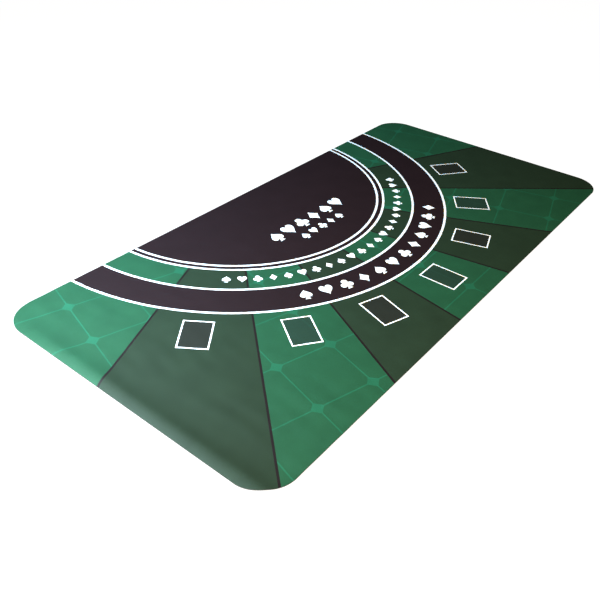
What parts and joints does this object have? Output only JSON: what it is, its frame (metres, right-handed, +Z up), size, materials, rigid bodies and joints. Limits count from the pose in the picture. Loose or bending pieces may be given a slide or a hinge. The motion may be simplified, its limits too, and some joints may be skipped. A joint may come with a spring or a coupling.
{
  "type": "blackjack table mat",
  "caption": "Flat roll-out gaming mat with rounded corners: printed cloth bonded to a foam rubber base, laid on a table as a blackjack layout.",
  "frame": {"origin": "centre of the underside, on the surface that the mat lies on", "axes": "+X along the long side, +Y towards the dealer's straight side, +Z up through the mat"},
  "size_m": [1.8, 0.9, 0.002],
  "materials": {
    "printed_cloth": "smooth fine-weave polyester with a dyed layout, low sheen",
    "bond_film": "hot-melt adhesive film",
    "rubber_base": "matte foam rubber with an anti-slip texture underneath"
  },
  "bodies": {
    "root": {"printed_cloth": "printed_cloth", "bond_film": "bond_film", "rubber_base": "rubber_base"}
  },
  "joints": []
}
